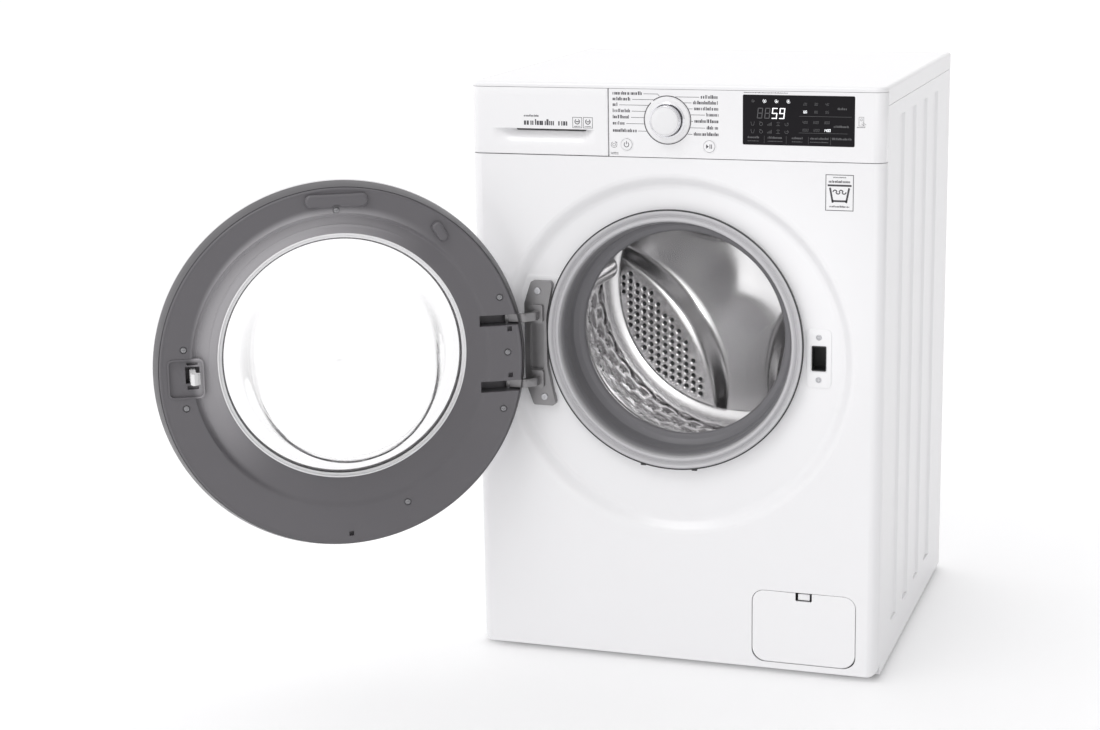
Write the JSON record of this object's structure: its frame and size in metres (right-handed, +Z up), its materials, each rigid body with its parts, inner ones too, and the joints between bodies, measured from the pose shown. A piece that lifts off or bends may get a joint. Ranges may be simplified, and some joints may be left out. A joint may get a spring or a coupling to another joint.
{
  "type": "front load washing machine",
  "caption": "Front load washing machine with an open round glass door, steel drum, detergent drawer, dial console and service flap.",
  "frame": {"origin": "centre of the cabinet's footprint, on the plane the feet stand on", "axes": "+Z up, normal to the worktop; +Y to the rear, along the water inlet; +X to the right seen from the front"},
  "size_m": [0.9812, 0.8808, 0.85],
  "materials": {
    "white_enamel": "satin",
    "white_gloss": "gloss",
    "galvanised_steel": "matte",
    "zinc_screws": "satin",
    "ground_steel": "satin",
    "stainless_drum": "polished",
    "lifter_steel": "satin",
    "die_cast": "satin",
    "door_grey": "satin",
    "door_bowl_glass": "polished",
    "clear_cover": "polished",
    "gasket_grey": "satin",
    "black_rubber": "matte",
    "display_black": "gloss",
    "silver_trim": "satin",
    "knob_silver": "satin",
    "tub_plastic": "matte",
    "cast_weights": "matte",
    "tray_plastic": "matte",
    "insert_blue": "matte",
    "black_plastic": "matte",
    "hook_plastic": "matte",
    "pump_plastic": "matte",
    "motor_laminations": "matte",
    "rotor_steel": "matte"
  },
  "bodies": {
    "cabinet": {"side_panel_left": "white_enamel", "side_panel_right": "white_enamel", "rear_wall": "white_enamel", "front_panel": "white_enamel", "worktop": "white_gloss", "base_pan": "galvanised_steel", "rear_cover": "galvanised_steel", "rear_grommets": "black_plastic", "cabinet_brackets": "galvanised_steel", "cabinet_fasteners": "zinc_screws", "damper_cylinders": "black_plastic", "suspension_springs": "galvanised_steel", "control_panel": "white_gloss", "display_window": "display_black", "control_boards": "black_plastic", "dial_ring": "silver_trim", "dispenser_housing": "tray_plastic", "dispenser_hose": "black_rubber", "inlet_valve": "black_plastic", "hinge_bracket": "die_cast", "door_lock": "black_plastic", "drain_pump": "pump_plastic", "sump_hose": "black_rubber", "drain_pipe": "pump_plastic", "door_gasket": "gasket_grey"},
    "door": {"door_inner_frame": "door_grey", "door_cover": "white_gloss", "door_window": "clear_cover", "door_glass": "door_bowl_glass", "glass_clamp_ring": "door_grey", "door_pins": "ground_steel", "door_screws": "zinc_screws"},
    "door_hook": {"door_hook": "hook_plastic"},
    "tub": {"tub_front": "tub_plastic", "tub_rear": "tub_plastic", "counterweights": "cast_weights", "gasket_clamp": "galvanised_steel", "heater": "ground_steel", "stator": "motor_laminations", "tub_bearings": "ground_steel", "damper_rods": "galvanised_steel"},
    "drum": {"drum_shell": "stainless_drum", "drum_front": "stainless_drum", "drum_back": "stainless_drum", "drum_lifters": "lifter_steel", "drum_spider": "die_cast", "drum_shaft": "ground_steel", "rotor": "rotor_steel"},
    "drawer": {"drawer_front": "white_gloss", "drawer_tray": "tray_plastic", "siphon_insert": "insert_blue"},
    "dial": {"programme_dial": "knob_silver"},
    "power_button": {"power_button": "white_gloss"},
    "start_button": {"start_button": "white_gloss"},
    "service_flap": {"service_flap": "white_gloss"},
    "pump_filter": {"pump_filter": "pump_plastic"},
    "foot_front_left": {"foot_front_left": "black_rubber"},
    "foot_front_right": {"foot_front_right": "black_rubber"},
    "foot_rear_left": {"foot_rear_left": "black_rubber"},
    "foot_rear_right": {"foot_rear_right": "black_rubber"}
  },
  "joints": [
    {"name": "door_hinge", "type": "hinge", "parent": "cabinet", "child": "door", "pos_m": [-0.241, -0.307, 0.465], "axis": [0, 0, 1], "range_deg": [0, 149]},
    {"name": "door_hook_pivot", "type": "hinge", "parent": "door", "child": "door_hook", "pos_m": [-0.62621, -0.54546, 0.462], "axis": [0, 0, 1], "range_deg": [-8, 0], "stiffness_Nm_per_rad": 0.6},
    {"name": "tub_bounce", "type": "slide", "parent": "cabinet", "child": "tub", "axis": [0, 0, 1], "range_m": [-0.01, 0.01], "stiffness_N_per_m": 20000, "springref_m": 0.0223, "deforming": ["suspension_springs", "dispenser_hose", "sump_hose", "door_gasket"]},
    {"name": "drum_spin", "type": "hinge", "parent": "tub", "child": "drum", "pos_m": [0, 0.19, 0.4855], "axis": [0, 1, 0], "continuous": true},
    {"name": "drawer_slide", "type": "slide", "parent": "cabinet", "child": "drawer", "axis": [0, -1, 0], "range_m": [0, 0.2]},
    {"name": "programme_dial_turn", "type": "hinge", "parent": "cabinet", "child": "dial", "pos_m": [-0.0065, -0.285, 0.8], "axis": [0, -1, 0], "continuous": true},
    {"name": "power_press", "type": "slide", "parent": "cabinet", "child": "power_button", "axis": [0, 1, 0], "range_m": [0, 0.0012], "stiffness_N_per_m": 500},
    {"name": "start_press", "type": "slide", "parent": "cabinet", "child": "start_button", "axis": [0, 1, 0], "range_m": [0, 0.0012], "stiffness_N_per_m": 500},
    {"name": "service_flap_hinge", "type": "hinge", "parent": "cabinet", "child": "service_flap", "pos_m": [0.192, -0.2785, 0.02], "axis": [1, 0, 0], "range_deg": [0, 90]},
    {"name": "pump_filter_turn", "type": "hinge", "parent": "cabinet", "child": "pump_filter", "pos_m": [0.165, -0.25, 0.066], "axis": [0, 1, 0], "range_deg": [0, 90]},
    {"name": "foot_front_left_level", "type": "slide", "parent": "cabinet", "child": "foot_front_left", "axis": [0, 0, -1], "range_m": [0, 0.015]},
    {"name": "foot_front_right_level", "type": "slide", "parent": "cabinet", "child": "foot_front_right", "axis": [0, 0, -1], "range_m": [0, 0.015]},
    {"name": "foot_rear_left_level", "type": "slide", "parent": "cabinet", "child": "foot_rear_left", "axis": [0, 0, -1], "range_m": [0, 0.015]},
    {"name": "foot_rear_right_level", "type": "slide", "parent": "cabinet", "child": "foot_rear_right", "axis": [0, 0, -1], "range_m": [0, 0.015]}
  ]
}
